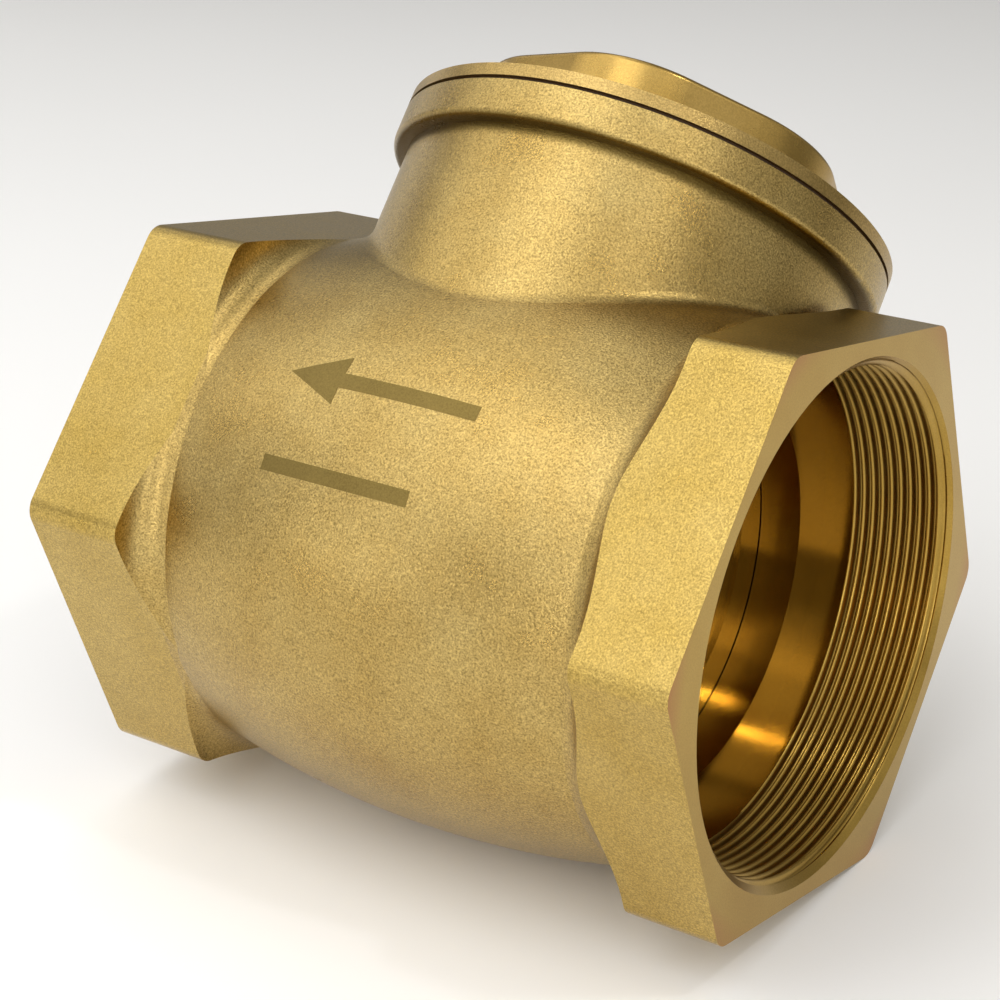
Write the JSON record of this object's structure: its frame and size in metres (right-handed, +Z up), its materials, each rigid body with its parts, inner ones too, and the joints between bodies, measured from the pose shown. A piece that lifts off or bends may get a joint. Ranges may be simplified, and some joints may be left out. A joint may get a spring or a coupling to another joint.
{
  "type": "swing check valve",
  "caption": "Brass swing check valve with hexagonal female pipe thread ends, a barrel body, a screwed bonnet cap and a hinged flap that lets water through one way only.",
  "frame": {"origin": "centre of the inlet port, where the flow axis meets the inlet's end face", "axes": "+X along the flow axis out of the inlet, so water flows towards -X; +Z up as the valve lies on a bench, with the bonnet leaning over towards +Y"},
  "size_m": [0.163, 0.1714, 0.1718],
  "materials": {
    "cast_brass": "sand-blasted cast brass",
    "cap_brass": "satin cast brass, machined boss",
    "gasket_fibre": "dark compressed fibre",
    "disc_brass": "turned brass",
    "arm_brass": "cast brass",
    "pin_steel": "drawn stainless bar",
    "nut_brass": "machined brass",
    "split_pin_steel": "stainless wire",
    "copper_ring": "soft copper"
  },
  "bodies": {
    "valve": {"valve_body": "cast_brass", "bonnet_cap": "cap_brass", "cap_gasket": "gasket_fibre", "hinge_pin": "pin_steel", "side_plug": "nut_brass", "plug_washer": "copper_ring"},
    "arm": {"hinge_arm": "arm_brass"},
    "flap": {"flap_disc": "disc_brass", "disc_washer": "nut_brass", "disc_nut": "nut_brass", "split_pin": "split_pin_steel"}
  },
  "joints": [
    {"name": "flap_swing", "type": "hinge", "parent": "valve", "child": "arm", "pos_m": [-0.046, 0.03926, 0.04404], "axis": [0, 0.7464, -0.6655], "range_deg": [0, 58]},
    {"name": "disc_turn", "type": "hinge", "parent": "arm", "child": "flap", "pos_m": [-0.0535, 0, 0], "axis": [1, 0, 0], "continuous": true}
  ]
}
